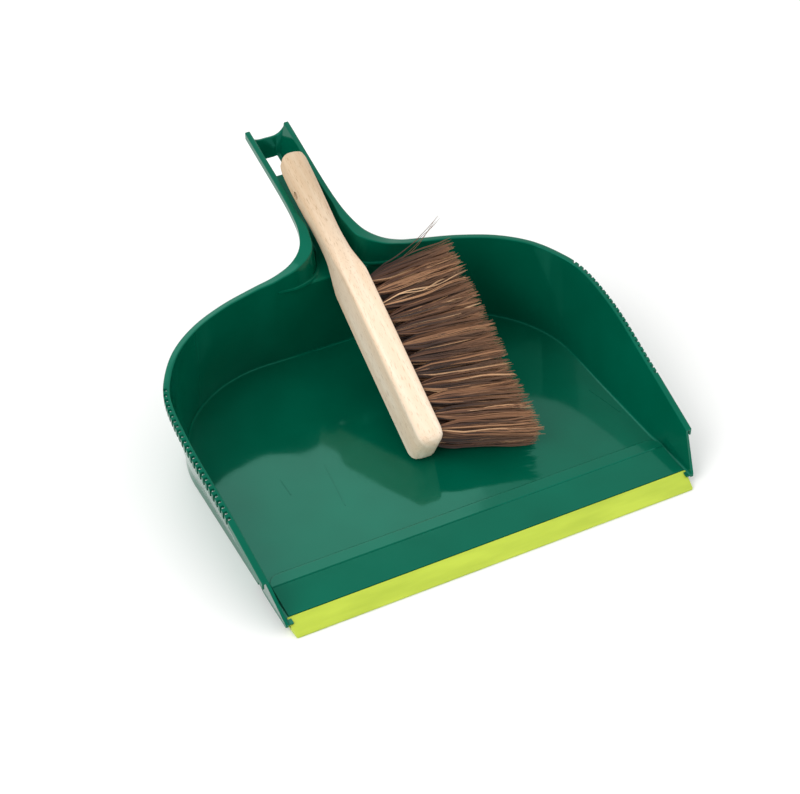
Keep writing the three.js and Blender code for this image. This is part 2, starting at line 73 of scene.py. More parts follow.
camera = bpy.data.objects.new("camera", bpy.data.cameras.new("camera"))
bpy.context.scene.collection.objects.link(camera)
camera.data.sensor_width = 36
camera.data.lens = 80.7
backwards = Vector((
    math.sin(CAMERA_AZIMUTH) * math.cos(CAMERA_HEIGHT),
    -math.cos(CAMERA_AZIMUTH) * math.cos(CAMERA_HEIGHT),
    math.sin(CAMERA_HEIGHT),
))
camera.location = CAMERA_PLACE
camera.rotation_mode = "QUATERNION"
camera.rotation_quaternion = (-backwards).to_track_quat("-Z", "Y")
camera.data.clip_end = 20
bpy.context.scene.camera = camera
print("camera at", [round(v, 3) for v in camera.location])

# %% [markdown]
# Every length below is in millimetres, with y = 0 at the front edge of the soft lip. One function
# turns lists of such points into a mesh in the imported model's own frame, in metres.

# %% From millimetres to a mesh
WALL = 2.2          # thickness of the moulding
SHARP_ANGLE = math.radians(38)


def add_mesh(name, points, faces, material, body, slot):
    scaled = (np.asarray(points, float) - (0, PAN_LENGTH / 2, 0)) / 1000
    mesh = bpy.data.meshes.new(name)
    mesh.from_pydata(scaled.tolist(), [], faces)
    mesh.validate()
    mesh.materials.append(material)
    mesh.polygons.foreach_set("use_smooth", [True] * len(mesh.polygons))
    mesh.set_sharp_from_angle(angle=SHARP_ANGLE)
    piece = bpy.data.objects.new(name, mesh)
    bpy.context.scene.collection.objects.link(piece)
    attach(piece, body)
    return piece


def loft(rings, cap=None):
    """Points and faces of a closed body through rings of points, each with the same number."""
    count = len(rings[0])
    points = [p for ring in rings for p in ring]
    faces = []
    for r in range(len(rings) - 1):
        for i in range(count):
            a, b = r * count + i, r * count + (i + 1) % count
            faces.append((a, b, b + count, a + count))
    last = (len(rings) - 1) * count
    for face in cap or [tuple(range(count))]:
        faces.append(tuple(reversed(face)))
        faces.append(tuple(last + i for i in face))
    return points, outward(points, faces)


def outward(points, faces):
    """The faces, turned over if they all point inwards."""
    p = np.asarray(points, float)
    volume = sum(
        np.dot(p[f[0]], np.cross(p[f[i]], p[f[i + 1]])) for f in faces for i in range(1, len(f) - 1)
    )
    return faces if volume > 0 else [tuple(reversed(f)) for f in faces]


def merge(bodies):
    """Several closed bodies as one list of points and one of faces."""
    points, faces = [], []
    for body_points, body_faces in bodies:
        start = len(points)
        points += list(body_points)
        faces += [tuple(start + i for i in face) for face in body_faces]
    return points, faces


def mirrored(body):
    """The same body on the other side of the middle plane."""
    points, faces = body
    return [(-x, y, z) for x, y, z in points], [tuple(reversed(f)) for f in faces]


def smoothstep(x, low, high):
    t = min(max((x - low) / (high - low), 0), 1)
    return t * t * (3 - 2 * t)


def mix(a, b, t):
    return a + (b - a) * t


print("mesh helpers ready")

# %% [markdown]
# A moulded edge is never sharp. Each section of the pan is drawn with its corners, and this
# function rounds each corner by its own radius. It also keeps one point close outside each round,
# so that the long flat faces stay flat in the reflections.

# %% Rounded corners
ROUND_STEPS = 4
SUPPORT = 0.7           # mm from the end of a round to the point that keeps the face flat
LEAST_TANGENT = 0.2     # a round in a very sharp corner grows no further
ROUND_SHARE, HOLD_SHARE = 0.42, 0.48    # the most of an edge that a round and its support take


def round_corner(before, corner, after, radius):
    if radius <= 0:
        return [corner]
    to_before, to_after = before - corner, after - corner
    length_before, length_after = np.linalg.norm(to_before), np.linalg.norm(to_after)
    to_before, to_after = to_before / length_before, to_after / length_after
    half = math.acos(np.clip(np.dot(to_before, to_after), -1, 1)) / 2
    shorter = min(length_before, length_after)
    reach = min(radius / max(math.tan(half), LEAST_TANGENT), ROUND_SHARE * shorter)
    hold = max(min(reach + SUPPORT, HOLD_SHARE * shorter), reach + 0.01)
    start, end = corner + to_before * reach, corner + to_after * reach
    arc = []
    for i in range(ROUND_STEPS + 1):
        t = i / ROUND_STEPS
        arc.append((1 - t) ** 2 * start + 2 * t * (1 - t) * corner + t * t * end)
    return [corner + to_before * hold, *arc, corner + to_after * hold]


def rounded(corners):
    """A closed ring of points from a list of (corner, radius)."""
    places = [np.asarray(c, float) for c, _ in corners]
    ring = []
    for i, (_, radius) in enumerate(corners):
        after = places[(i + 1) % len(places)]
        ring += round_corner(places[i - 1], places[i], after, radius)
    return [tuple(p) for p in ring]


print("steps in a rounded corner:", ROUND_STEPS)

# %% [markdown]
# ## The rim
# The outer edge of the rim is the line that gives the pan its character: low at the front, rising
# along the sides, round the back corners, then sweeping up and back into the handle. It is a
# smooth curve through a few points. All walls hang from it.

# %% Line of the rim
# x, y, z and width of the flange, along the right-hand side from the front to the handle's tip
RIM = [
    (178, 27, 36, 5), (181, 91, 56, 5), (183.9, 150, 72, 5), (180.5, 193, 80.5, 5),
    (171, 214, 84.5, 5), (156, 233, 88.5, 5), (133.5, 250, 91, 5), (104, 264, 92, 5),
    (75, 271, 94, 5.5), (55, 271.5, 98.5, 7), (40, 273.5, 104.5, 9), (29, 281, 110.5, 10.5),
    (23, 294, 116.5, 8), (20, 316, 123, 4.6), (19.6, 403, 147.3, 4.2),
]
NECK_START = 9
TIP = len(RIM) - 1
STEP_ALONG = 3.0    # mm between sections


def rim_point(at):
    """Point and direction of the rim's edge by a centripetal Catmull-Rom curve."""
    line = np.array([r[:3] for r in RIM], float)
    i = min(int(at), TIP - 1)
    t = at - i
    p1, p2 = line[i], line[i + 1]
    p0 = line[i - 1] if i > 0 else 2 * line[0] - line[1]
    p3 = line[i + 2] if i + 2 <= TIP else 2 * line[TIP] - line[TIP - 1]
    d0, d1, d2 = (math.sqrt(np.linalg.norm(b - a)) for a, b in ((p0, p1), (p1, p2), (p2, p3)))
    m1 = ((p1 - p0) / d0 - (p2 - p0) / (d0 + d1) + (p2 - p1) / d1) * d1
    m2 = ((p2 - p1) / d1 - (p3 - p1) / (d1 + d2) + (p3 - p2) / d2) * d1
    c2, c3 = -3 * p1 + 3 * p2 - 2 * m1 - m2, 2 * p1 - 2 * p2 + m1 + m2
    return p1 + m1 * t + c2 * t * t + c3 * t**3, m1 + 2 * c2 * t + 3 * c3 * t * t


def rim_station(at):
    outer, along = rim_point(at)
    out = np.array([along[1], -along[0], 0])
    out /= np.linalg.norm(out)
    i = min(int(at), TIP - 1)
    width = mix(RIM[i][3], RIM[i + 1][3], smoothstep(at - i, 0, 1))
    return {"at": at, "outer": outer, "inner": outer - out * width, "out": out}


def rim_stations(start, end):
    stations = []
    for i in range(start, end):
        length = np.linalg.norm(np.subtract(RIM[i + 1][:3], RIM[i][:3]))
        steps = max(4, round(length / STEP_ALONG))
        stations += [rim_station(i + s / steps) for s in range(steps)]
    return stations + [rim_station(end)]


tray_stations = rim_stations(0, NECK_START)
channel_stations = rim_stations(NECK_START, TIP)
print("sections along one side:", len(tray_stations) + len(channel_stations))

# %% [markdown]
# ## The tray
# A side wall could be a plain sheet that a Solidify modifier thickens, but then every edge would be
# square. Here each section is a closed outline instead: a fillet from the floor, the wall, the flat
# flange, its turned-down lip, and the skirt that the pan stands on. Lofting these along the rim
# gives one closed body for each side.

# %% Sections of the side walls
FLOOR_TOP = 8
FLOOR_HALF = 166
FLOOR_BACK = 277
FLOOR_RADIUS = 100
FLOOR_FRONT = 44
GUTTER_BOW = 1.8
GUTTER_STRAIGHT, GUTTER_END = 50, 62
CHEEK_SLANT = 19.5
CHEEK_BLEND = 64
SKIRT_START = 60
FILLET = 3.4        # round between floor and wall
FLANGE_THICK = 2.2
LIP_DEPTH = 6.5
LIP_THICK = 1.6
FILLET_SHARE = 1.2  # a fillet ends this many times its size from the wall
SUNK = 1.2          # how far a fillet is let into the plate it stands on
PROUD = 0.004       # how far it stands above it, so that two faces never lie in one plane
UP = np.array([0, 0, 1.0])


def floor_under(x, y):
    centre_x, centre_y = FLOOR_HALF - FLOOR_RADIUS, FLOOR_BACK - FLOOR_RADIUS
    if y <= centre_y:
        half = FLOOR_HALF + GUTTER_BOW * (1 - smoothstep(y, FLOOR_FRONT, GUTTER_END))
        return np.array([half, y, FLOOR_TOP]), np.array([1.0, 0, 0])
    if x <= centre_x:
        return np.array([x, FLOOR_BACK, FLOOR_TOP]), np.array([0, 1.0, 0])
    out = np.array([x - centre_x, y - centre_y, 0]) / math.hypot(x - centre_x, y - centre_y)
    return np.array([centre_x, centre_y, FLOOR_TOP]) + out * FLOOR_RADIUS, out


def tray_foot(station):
    x, y = station["inner"][:2]
    slant = CHEEK_SLANT * max(0, 1 - (y - RIM[0][1]) / CHEEK_BLEND)
    return floor_under(x, y - slant)


def shell_section(station, foot, foot_out, fillet, bottom):
    """Closed section of a wall with its rim, from its fillet over the rim and back down outside."""
    inner, outer, out = station["inner"], station["outer"], station["out"]
    lip_inner = outer - out * LIP_THICK
    foot_outer = foot + foot_out * WALL
    toe = foot - foot_out * fillet * FILLET_SHARE + UP * PROUD
    return rounded([
        (toe - UP * SUNK, 0),
        (toe, 0),
        (foot + UP * PROUD, fillet),
        (inner, 1.0),
        (outer, 1.0),
        (outer - UP * LIP_DEPTH, 0.6),
        (lip_inner - UP * LIP_DEPTH, 0.6),
        (lip_inner - UP * FLANGE_THICK, 0.7),
        (inner + out * WALL - UP * FLANGE_THICK, 0.8),
        (foot_outer, 2.0),
        (foot_outer * (1, 1, 0) + UP * bottom, 0.5),
        (foot * (1, 1, 0) + UP * bottom, 0.5),
        (foot - UP * SUNK, 0),
    ])


def tray_section(station):
    foot, foot_out = tray_foot(station)
    return shell_section(station, foot, foot_out, FILLET, 0)


# %% [markdown]
# Past the back corners the wall leaves the tray and becomes the side of the handle. Its foot then
# stands on the bottom plate of the handle, a plane that rises towards the tip.

# %% Sections of the neck and the handle
SLOPE = 0.28
PLATE_RISE = 11
MOUTH_LEAN = 10.5
DRAFT = 7
CHANNEL_FILLET = 2.0
END_SLANT = 6
DRAFT_STARTS, DRAFT_FULL = NECK_START + 1, NECK_START + 4      # places along the rim
LEAN_ENDS, FILLET_FULL = NECK_START + 2, NECK_START + 1.5
LEAST_FILLET = 0.2
SEAM_DEPTH = 0.5        # mm that the sides reach below the bottom plate


def plate_top(y):
    return PLATE_RISE + SLOPE * y


def channel_foot(station, grow=0.0):
    at, inner, out = station["at"], station["inner"], station["out"]
    draft = DRAFT * smoothstep(at, DRAFT_STARTS, DRAFT_FULL)
    lean = 1 - smoothstep(at, NECK_START, LEAN_ENDS)
    foot = inner + out * (grow - draft)
    foot[2] = plate_top(inner[1])
    foot[1] += lean * (inner[2] - foot[2]) / (inner[2] - FLOOR_TOP) * (FLOOR_BACK - inner[1])
    foot[1] -= END_SLANT * smoothstep(at, TIP - 1, TIP)
    return foot


def channel_section(station):
    foot = channel_foot(station)
    foot[2] = plate_top(foot[1])
    fillet = LEAST_FILLET + CHANNEL_FILLET * smoothstep(station["at"], NECK_START, FILLET_FULL)
    return shell_section(station, foot, station["out"], fillet, foot[2] - WALL - SEAM_DEPTH)


def end_faces(ring):
    """Triangles that close the end of a section, found on its own plane."""
    return [tuple(f) for f in tessellate_polygon([[Vector(p) for p in ring]])]


def side_wall(stations, section):
    rings = [section(s) for s in stations]
    return loft(rings, end_faces(rings[0]))


tray_side = side_wall(tray_stations, tray_section)
channel_side = side_wall(channel_stations, channel_section)
print("points in one tray side:", len(tray_side[0]), "and in one handle side:", len(channel_side[0]))

# %% [markdown]
# The back wall closes the tray under the mouth of the handle. It leans forward as it rises, and its
# top edge rolls over into the bottom plate of the handle. The plate narrows with the neck, and it
# ends in a curved wall with a dip for the thumb.

# %% Back wall, bottom plate and end wall
MOUTH_Y = FLOOR_BACK - MOUTH_LEAN
MOUTH_ROUND = 4
SLOT = (376, 401, 7.8, 2)       # start, end, half width and corner radius of the hanging slot
END_HALF = 17.5
END_TIP = 402.3
END_BULGE = 3.5
END_TOP = 146.6
END_DIP, END_DIP_SHAPE = 11.8, 3.5
END_ROOT = 3            # mm that the end wall reaches below the bottom plate
END_STEPS = 24
SLOT_CUTTER_REACH = 8
SLOT_CORNER_STEPS = 6


def back_wall():
    half = rim_point(NECK_START)[0][0]
    top = plate_top(MOUTH_Y)
    ring = rounded([
        ((0, FLOOR_BACK - FILLET * FILLET_SHARE, FLOOR_TOP + PROUD - SUNK), 0),
        ((0, FLOOR_BACK - FILLET * FILLET_SHARE, FLOOR_TOP + PROUD), 0),
        ((0, FLOOR_BACK, FLOOR_TOP + PROUD), FILLET),
        ((0, MOUTH_Y, top), MOUTH_ROUND),
        ((0, MOUTH_Y + 2 * WALL, plate_top(MOUTH_Y + 2 * WALL)), 0),
        ((0, MOUTH_Y + 2 * WALL, plate_top(MOUTH_Y + 2 * WALL) - WALL), 0),
        ((0, MOUTH_Y + 1.2 * WALL, top - WALL), 1.5),
        ((0, FLOOR_BACK + WALL, FLOOR_TOP), 2.0),
        ((0, FLOOR_BACK + WALL, 0), 0.5),
        ((0, FLOOR_BACK, 0), 0.5),
        ((0, FLOOR_BACK, FLOOR_TOP - SUNK), 0),
    ])
    columns = np.linspace(-half, half, 15)
    return loft([[(x, y, z) for _, y, z in ring] for x in columns], end_faces(ring))


def end_front(u):
    return END_TIP + END_BULGE * (1 - u * u)


def bottom_plate():
    start = MOUTH_Y + 2 * WALL
    feet = [channel_foot(s, WALL / 2) for s in channel_stations]
    feet = [f for f in feet if start + 0.5 < f[1] < END_TIP - END_SLANT - 2]
    outline = [(np.interp(start, [f[1] for f in feet], [f[0] for f in feet]) + 3, start)]
    outline += [(f[0], f[1]) for f in feet]
    outline += [(u * (END_HALF - DRAFT), end_front(u) - END_SLANT + WALL / 2) for u in (0.95, 0.7, 0.4)]
    rings = []
    for x, y in outline:
        top = plate_top(y)
        rings.append([(-x, y, top), (x, y, top), (x, y, top - WALL), (-x, y, top - WALL)])
    return loft(rings)


def end_wall():
    rings = []
    end_foot = plate_top(END_TIP) - WALL - END_ROOT
    for i in range(END_STEPS + 1):
        u = 2 * i / END_STEPS - 1
        top = END_TOP - END_DIP * (1 - abs(u) ** END_DIP_SHAPE)
        foot = np.array([u * (END_HALF - DRAFT), end_front(u) - END_SLANT, end_foot])
        head = np.array([u * END_HALF, end_front(u), top])
        behind = np.array([0, WALL, 0])
        rings.append(rounded([(foot, 0), (head, 0.9), (head + behind, 0.9), (foot + behind, 0.9)]))
    return loft(rings)


def slot_outline(start, end, half, radius):
    points = []
    for turn, (cx, cy) in enumerate((
        (half - radius, end - radius), (radius - half, end - radius),
        (radius - half, start + radius), (half - radius, start + radius),
    )):
        for k in range(SLOT_CORNER_STEPS + 1):
            a = math.pi / 2 * (turn + k / SLOT_CORNER_STEPS)
            points.append((cx + radius * math.cos(a), cy + radius * math.sin(a)))
    return points


def prism(outline, low, high):
    return loft([[(x, y, low) for x, y in outline], [(x, y, high) for x, y in outline]])


print("mouth edge at y", MOUTH_Y, "z", round(plate_top(MOUTH_Y), 1))

# %% [markdown]
# The floor is a flat slab inside the walls. In front of it a ramp leads up from the soft lip, folds
# into a low crest and drops to the floor, so that dirt doesn't slide back out.

# %% Floor, ramp and ribs
RAMP_FRONT, RAMP_FRONT_TOP = 14.3, 9.1
RAMP_FOLD, RAMP_FOLD_TOP = 42, 11.8
RAMP_BACK = 55
RAMP_HALF = 164.6
RAMP_CORNER = 9
TONGUE_TIP, TONGUE_FOOT, TONGUE_TOP, TONGUE_ROOT_TOP = 9, 2.8, 4.2, 6.2
FLOOR_STEPS, RAMP_STEPS = 24, 8
RIB_XS = (-120, -60, 0, 60, 120)
RIB_START, RIB_END, RIB_THICK, RIB_FOOT = 62, 236, 1.6, 0.6


def floor_slab():
    reach = FLOOR_RADIUS + WALL / 2
    wide = FLOOR_HALF + GUTTER_BOW + WALL / 2
    centre_x, centre_y = FLOOR_HALF - FLOOR_RADIUS, FLOOR_BACK - FLOOR_RADIUS
    right = [(wide, RAMP_FRONT), (wide, GUTTER_STRAIGHT), (FLOOR_HALF + WALL / 2, GUTTER_END)]
    for k in range(FLOOR_STEPS + 1):
        a = math.pi / 2 * k / FLOOR_STEPS
        right.append((centre_x + reach * math.cos(a), centre_y + reach * math.sin(a)))
    outline = right + [(-x, y) for x, y in reversed(right)]
    return prism(outline, FLOOR_TOP - WALL, FLOOR_TOP)


def ramp():
    """Sections along X. Near its ends the back of the ramp is pulled in, which rounds its corners."""
    turns = [math.pi / 2 * k / RAMP_STEPS for k in range(RAMP_STEPS + 1)]
    ends = [RAMP_HALF - RAMP_CORNER * (1 - math.sin(turn)) for turn in turns]
    columns = [-x for x in reversed(ends)] + list(np.linspace(-ends[0], ends[0], 9))[1:-1] + ends
    rings = []
    for x in columns:
        into = max(0.0, abs(x) - (RAMP_HALF - RAMP_CORNER)) / RAMP_CORNER
        back = RAMP_BACK - RAMP_CORNER * (1 - math.sqrt(max(0.0, 1 - into * into)))
        rings.append([(x, y, z) for _, y, z in rounded([
            ((0, TONGUE_TIP, TONGUE_FOOT), 0),
            ((0, TONGUE_TIP, TONGUE_TOP), 0),
            ((0, RAMP_FRONT, TONGUE_ROOT_TOP), 0),
            ((0, RAMP_FRONT, RAMP_FRONT_TOP), 0.4),
            ((0, RAMP_FOLD - 0.7, RAMP_FOLD_TOP - 0.1), 0),
            ((0, RAMP_FOLD, RAMP_FOLD_TOP - 0.55), 0),
            ((0, RAMP_FOLD + 0.7, RAMP_FOLD_TOP + 0.1), 0),
            ((0, back - 2, RAMP_FOLD_TOP + 0.3), 1.5),
            ((0, back, FLOOR_TOP - WALL / 2), 0),
            ((0, RAMP_FRONT, TONGUE_FOOT), 0),
        ])])
    return loft(rings, end_faces(rings[0]))


def block(x0, x1, y0, y1, z0, z1):
    return prism([(x0, y0), (x1, y0), (x1, y1), (x0, y1)], z0, z1)


# three low ridges on the floor: the ends of their centre lines in x and y
FLOOR_RIDGES = (((-74, 146), (-80, 98)), ((153, 129), (160, 95)), ((-111, 146), (-111, 127)))
RIDGE_WIDTH, RIDGE_HEIGHT = 0.7, 0.25


def floor_ridge(start, end):
    start, end = np.array(start, float), np.array(end, float)
    aside = np.array([start[1] - end[1], end[0] - start[0]])
    aside *= RIDGE_WIDTH / 2 / np.linalg.norm(aside)
    corners = [start + aside, start - aside, end - aside, end + aside]
    return prism(corners, FLOOR_TOP - 1, FLOOR_TOP + RIDGE_HEIGHT)


ribs = [
    block(x - RIB_THICK / 2, x + RIB_THICK / 2, RIB_START, RIB_END, RIB_FOOT, FLOOR_TOP - 1)
    for x in RIB_XS
]
print("ribs under the floor:", len(ribs))

# %% [markdown]
# ## Finishes
# Colours are written as the sRGB hex values that a paint chart gives, and one function turns them
# into the linear values that Blender works in. Another adds a node with its settings and links.

# %% Colours and nodes
def colour(hex_code):
    channels = [int(hex_code[i : i + 2], 16) / 255 for i in (1, 3, 5)]
    linear = [c / 12.92 if c <= 0.04045 else ((c + 0.055) / 1.055) ** 2.4 for c in channels]
    return (*linear, 1)


def add_node(tree, kind, settings=None, inputs=None):
    """A node of that kind. An input that is a (node, output) pair is linked, any other is a value."""
    made = tree.nodes.new("ShaderNode" + kind)
    for name, value in (settings or {}).items():
        setattr(made, name, value)
    for name, value in (inputs or {}).items():
        if isinstance(value, tuple) and isinstance(value[0], bpy.types.Node):
            tree.links.new(value[0].outputs[value[1]], made.inputs[name])
        else:
            made.inputs[name].default_value = value
    return made


def new_material(name, **shader_values):
    """A material with one Principled shader, whose plain numbers are set on its own sockets."""
    made = bpy.data.materials.new(name)
    made.use_nodes = True
    shader = made.node_tree.nodes["Principled BSDF"]
    for socket, value in shader_values.items():
        shader.inputs[socket.replace("_", " ")].default_value = value
    return made, made.node_tree, shader


def blend_colours(tree, factor, stops):
    """A colour ramp through (position, hex colour) stops, driven by factor."""
    ramp_node = add_node(tree, "ValToRGB", inputs={"Fac": factor})
    ramp_node.color_ramp.elements[0].position, ramp_node.color_ramp.elements[1].position = 0, 1
    for position, _ in stops[1:-1]:
        ramp_node.color_ramp.elements.new(position)
    for element, (position, hex_code) in zip(ramp_node.color_ramp.elements, stops):
        element.position, element.color = position, colour(hex_code)
    return ramp_node


PER_MM = 1000       # a pattern one millimetre long repeats a thousand times in a metre
print("finish helpers ready")

# %% [markdown]
# **Polypropylene**, injection moulded in a polished tool. It is a waxy, slightly cloudy plastic: its
# reflections are clear but never quite sharp, and a big flat face is a little wavy where it shrank.
# Dust boxes get fine scuffs on the floor, which break the reflection more than the colour.

# %% Green polypropylene
def green_polypropylene():
    made, tree, shader = new_material("green_polypropylene", IOR=1.49, Specular_IOR_Level=0.5)
    # Real polypropylene mirrors white. This tint is tuned, to keep the lit floor a strong green.
    shader.inputs["Specular Tint"].default_value = colour("#6CFFE1")
    place = add_node(tree, "TexCoord")
    # flow of the pigment through the mould, in patches some 60 mm wide
    flow = add_node(tree, "TexNoise", inputs={"Vector": (place, "Object"), "Scale": PER_MM / 60, "Detail": 2})
    shade = blend_colours(tree, (flow, "Fac"), [(0.3, "#00503B"), (0.7, "#005943")])
    # scuffs about 0.8 mm wide and ten times as long
    stretch = add_node(tree, "Mapping", inputs={"Vector": (place, "Object"), "Scale": (1.0, 0.1, 1.0)})
    scuffs = add_node(tree, "TexNoise", inputs={
        "Vector": (stretch, "Vector"), "Scale": PER_MM / 0.8, "Detail": 3,
    })
    gloss = add_node(tree, "MapRange", inputs={
        "Value": (scuffs, "Fac"), "From Min": 0.45, "From Max": 0.8, "To Min": 0.07, "To Max": 0.16,
    })
    # shrinkage waves some 25 mm long and a few hundredths of a millimetre high, under 1.2 mm ripples
    waves = add_node(tree, "TexNoise", inputs={
        "Vector": (place, "Object"), "Scale": PER_MM / 25, "Detail": 1,
    })
    skin = add_node(tree, "TexNoise", inputs={
        "Vector": (place, "Object"), "Scale": PER_MM / 1.2, "Detail": 2,
    })
    wavy = add_node(tree, "Bump", inputs={"Height": (waves, "Fac"), "Strength": 0.5, "Distance": 0.00022})
    bumps = add_node(tree, "Bump", inputs={
        "Height": (skin, "Fac"), "Strength": 0.35, "Distance": 0.000012, "Normal": (wavy, "Normal"),
    })
    tree.links.new(shade.outputs["Color"], shader.inputs["Base Color"])
    tree.links.new(gloss.outputs["Result"], shader.inputs["Roughness"])
    tree.links.new(bumps.outputs["Normal"], shader.inputs["Normal"])
    return made


# %% [markdown]
# **Thermoplastic rubber** for the lip: soft, so it is moulded satin and hides its own small waves.
# Light goes a little way into it, which lifts its colour along the thin front edge.

# %% Lime soft lip
def lime_rubber():
    made, tree, shader = new_material(
        "lime_soft_lip", IOR=1.5, Subsurface_Weight=0.12, Subsurface_Scale=0.002, Sheen_Weight=0.05,
    )
    shader.inputs["Subsurface Radius"].default_value = (1.0, 0.9, 0.2)
    place = add_node(tree, "TexCoord")
    streaks = add_node(tree, "Mapping", inputs={"Vector": (place, "Object"), "Scale": (0.15, 1.0, 1.0)})
    flow = add_node(tree, "TexNoise", inputs={
        "Vector": (streaks, "Vector"), "Scale": PER_MM / 9, "Detail": 4,
    })
    shade = blend_colours(tree, (flow, "Fac"), [(0.35, "#A9BC30"), (0.65, "#B8CA3A")])
    grain = add_node(tree, "TexNoise", inputs={
        "Vector": (place, "Object"), "Scale": PER_MM / 0.7, "Detail": 3,
    })
    satin = add_node(tree, "MapRange", inputs={"Value": (grain, "Fac"), "To Min": 0.42, "To Max": 0.6})
    fine = add_node(tree, "Bump", inputs={"Height": (grain, "Fac"), "Strength": 0.4, "Distance": 0.00004})
    tree.links.new(shade.outputs["Color"], shader.inputs["Base Color"])
    tree.links.new(satin.outputs["Result"], shader.inputs["Roughness"])
    tree.links.new(fine.outputs["Normal"], shader.inputs["Normal"])
    return made


# %% [markdown]
# **Beech**, planed and sanded but not varnished. Its growth rings run along the stock as bands a few
# millimetres wide, and between them lie the short dark flecks, a few millimetres long, that tell
# beech from other pale woods. The pattern is drawn in the brush's own directions, because the brush
# lies tilted.

# %% The brush's own frame, and its wood
# The block's corner at the nose touches the tray floor and its underside rests on the mouth edge.
BRUSH_PLACE = (-4, 108, 23.8)
BRUSH_TILT = math.radians(27)
BRUSH_YAW = math.radians(-0.9)
brush_turn = np.array(Matrix.Rotation(BRUSH_YAW, 3, "Z") @ Matrix.Rotation(BRUSH_TILT, 3, "X"))


def from_brush(points):
    """Points of the brush (x to the bristle tips, y to the handle, z across) in the pan's frame."""
    return np.asarray(points, float) @ brush_turn.T + BRUSH_PLACE


def store_own_place(piece, points):
    """Keeps each point's place in the brush's own directions, in metres, for the wood's pattern."""
    own = piece.data.attributes.new("own_place", "FLOAT_VECTOR", "POINT")
    own.data.foreach_set("vector", (np.asarray(points, float) / 1000).ravel())


def beech_wood():
    made, tree, shader = new_material("beech", IOR=1.5, Coat_Weight=0.0)
    own = add_node(tree, "Attribute", {"attribute_name": "own_place"})
    along = add_node(tree, "Mapping", inputs={"Vector": (own, "Vector"), "Scale": (1.0, 0.07, 1.0)})
    drift = add_node(tree, "TexNoise", inputs={
        "Vector": (along, "Vector"), "Scale": PER_MM / 14, "Detail": 2,
    })
    rings = add_node(tree, "TexWave", {"bands_direction": "DIAGONAL"}, {
        "Vector": (along, "Vector"), "Scale": PER_MM / 36,
        "Distortion": 5.0, "Detail": 2, "Detail Scale": 1.2,
    })
    bands = blend_colours(tree, (rings, "Fac"), [(0.0, "#F1D8BC"), (0.6, "#F9E6CF"), (1.0, "#EACDAE")])
    patches = blend_colours(tree, (drift, "Fac"), [(0.3, "#EDD2B4"), (0.7, "#FBEBD8")])
    base = add_node(tree, "Mix", {"data_type": "RGBA"}, {"Factor": 0.5})
    tree.links.new(bands.outputs["Color"], base.inputs["A"])
    tree.links.new(patches.outputs["Color"], base.inputs["B"])
    # flecks: cells about 0.9 mm wide and seven times as long
    fleck_place = add_node(tree, "Mapping", inputs={"Vector": (own, "Vector"), "Scale": (1.0, 0.14, 1.0)})
    flecks = add_node(tree, "TexNoise", inputs={
        "Vector": (fleck_place, "Vector"), "Scale": PER_MM / 0.9, "Detail": 2, "Roughness": 0.6,
    })
    dark = add_node(tree, "MapRange", inputs={
        "Value": (flecks, "Fac"), "From Min": 0.56, "From Max": 0.72, "To Min": 0.0, "To Max": 0.5,
    })
    fleck_colour = add_node(tree, "Mix", {"data_type": "RGBA"}, {"Factor": (dark, "Result")})
    tree.links.new(base.outputs["Result"], fleck_colour.inputs["A"])
    fleck_colour.inputs["B"].default_value = colour("#AF8A60")
    # The handle is drawn darker, more and more from 120 to 240 mm from the nose. The amount is
    # tuned, and that hands have darkened it is a guess.
    own_axes = add_node(tree, "SeparateXYZ", inputs={"Vector": (own, "Vector")})
    toward_handle_end = add_node(tree, "MapRange", inputs={
        "Value": (own_axes, "Y"), "From Min": 0.12, "From Max": 0.24, "To Min": 0.0, "To Max": 1.0,
    })
    darkened_handle = add_node(
        tree, "Mix", {"data_type": "RGBA", "blend_type": "MULTIPLY"}, {"Factor": (toward_handle_end, "Result")},
    )
    tree.links.new(fleck_colour.outputs["Result"], darkened_handle.inputs["A"])
    darkened_handle.inputs["B"].default_value = colour("#D0C7B8")
    rough = add_node(tree, "MapRange", inputs={"Value": (flecks, "Fac"), "To Min": 0.5, "To Max": 0.72})
    grooves = add_node(tree, "Bump", {"invert": True}, {
        "Height": (dark, "Result"), "Strength": 0.5, "Distance": 0.00008,
    })
    tree.links.new(darkened_handle.outputs["Result"], shader.inputs["Base Color"])
    tree.links.new(rough.outputs["Result"], shader.inputs["Roughness"])
    tree.links.new(grooves.outputs["Normal"], shader.inputs["Normal"])
    return made


# %% [markdown]
# **Coco fibre**, the hard brown bristle of the coconut husk. Each fibre differs from its neighbour,
# from nearly black to tan, and it pales towards its worn tip. The colour is picked per fibre from a
# number stored on its points, and a second number runs from root to tip.

# %% Coco fibre
def coco_fibre():
    made, tree, shader = new_material("coco_fibre", IOR=1.5, Sheen_Weight=0.25, Sheen_Roughness=0.4)
    shader.inputs["Sheen Tint"].default_value = colour("#D9A877")
    kind = add_node(tree, "Attribute", {"attribute_name": "fibre_kind"})
    reach = add_node(tree, "Attribute", {"attribute_name": "fibre_reach"})
    body_colour = blend_colours(tree, (kind, "Fac"), [
        (0.0, "#24120A"), (0.3, "#523220"), (0.6, "#835A3D"), (0.85, "#B38660"), (1.0, "#DDB88F"),
    ])
    worn = add_node(tree, "MapRange", inputs={
        "Value": (reach, "Fac"), "From Min": 0.35, "From Max": 1.0, "To Min": 0.0, "To Max": 0.3,
    })
    tinted = add_node(tree, "Mix", {"data_type": "RGBA"}, {"Factor": (worn, "Result")})
    tree.links.new(body_colour.outputs["Color"], tinted.inputs["A"])
    tinted.inputs["B"].default_value = colour("#B08058")
    rough = add_node(tree, "MapRange", inputs={"Value": (kind, "Fac"), "To Min": 0.5, "To Max": 0.7})
    tree.links.new(tinted.outputs["Result"], shader.inputs["Base Color"])
    tree.links.new(rough.outputs["Result"], shader.inputs["Roughness"])
    return made


